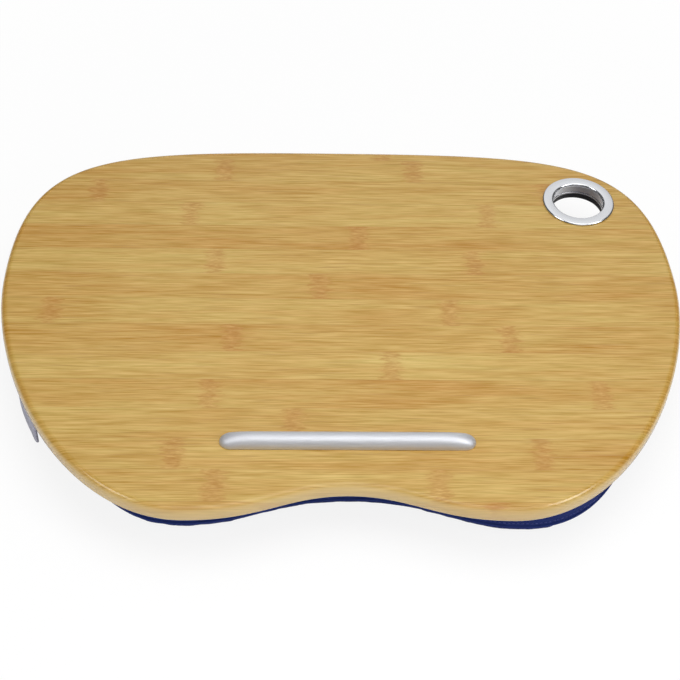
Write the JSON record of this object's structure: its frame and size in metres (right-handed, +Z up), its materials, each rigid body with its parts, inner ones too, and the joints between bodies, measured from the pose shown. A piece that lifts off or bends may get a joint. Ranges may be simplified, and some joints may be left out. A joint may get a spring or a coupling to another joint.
{
  "type": "cushioned lap desk",
  "caption": "Kidney-shaped lap desk: a bamboo-print board with a cup ring and a laptop ledge, held on a sewn, filled cushion with a carry strap.",
  "frame": {"origin": "on the surface that the cushion rests on, below the middle of the board", "axes": "+X along the board's width to the cup ring's side, +Y from the user to the back, +Z up"},
  "size_m": [0.58, 0.419, 0.0709],
  "materials": {
    "bamboo_board": "bamboo-print film wrapped over the board's edge, satin",
    "plated_ring": "satin plated plastic",
    "black_plastic": "moulded, matt",
    "silver_bar": "silver lacquer on moulded plastic",
    "screw_steel": "zinc plated",
    "hook_tape": "hook tape",
    "loop_tape": "loop tape",
    "navy_cloth": "plain-weave polyester",
    "navy_piping": "bias-cut piping over a cord",
    "bead_bag": "inner bag filled with foam beads",
    "grey_webbing": "woven webbing"
  },
  "bodies": {
    "cushion": {"cushion_bottom_panel": "navy_cloth", "cushion_gusset": "navy_cloth", "cushion_top_panel": "navy_cloth", "cushion_filling": "bead_bag", "cushion_piping_top": "navy_piping", "cushion_piping_bottom": "navy_piping", "carry_strap": "grey_webbing", "loop_patch_front_left": "loop_tape", "loop_patch_front_right": "loop_tape", "loop_patch_back_left": "loop_tape", "loop_patch_back_right": "loop_tape"},
    "tray": {"tray_board": "bamboo_board", "cup_ring": "plated_ring", "cup_lock_ring": "black_plastic", "ledge_bar": "silver_bar", "ledge_screw_left": "screw_steel", "ledge_screw_right": "screw_steel", "hook_patch_front_left": "hook_tape", "hook_patch_front_right": "hook_tape", "hook_patch_back_left": "hook_tape", "hook_patch_back_right": "hook_tape"}
  },
  "joints": [
    {"name": "tray_release", "type": "slide", "parent": "cushion", "child": "tray", "axis": [0, 0, 1], "range_m": [0, 0.06]}
  ]
}
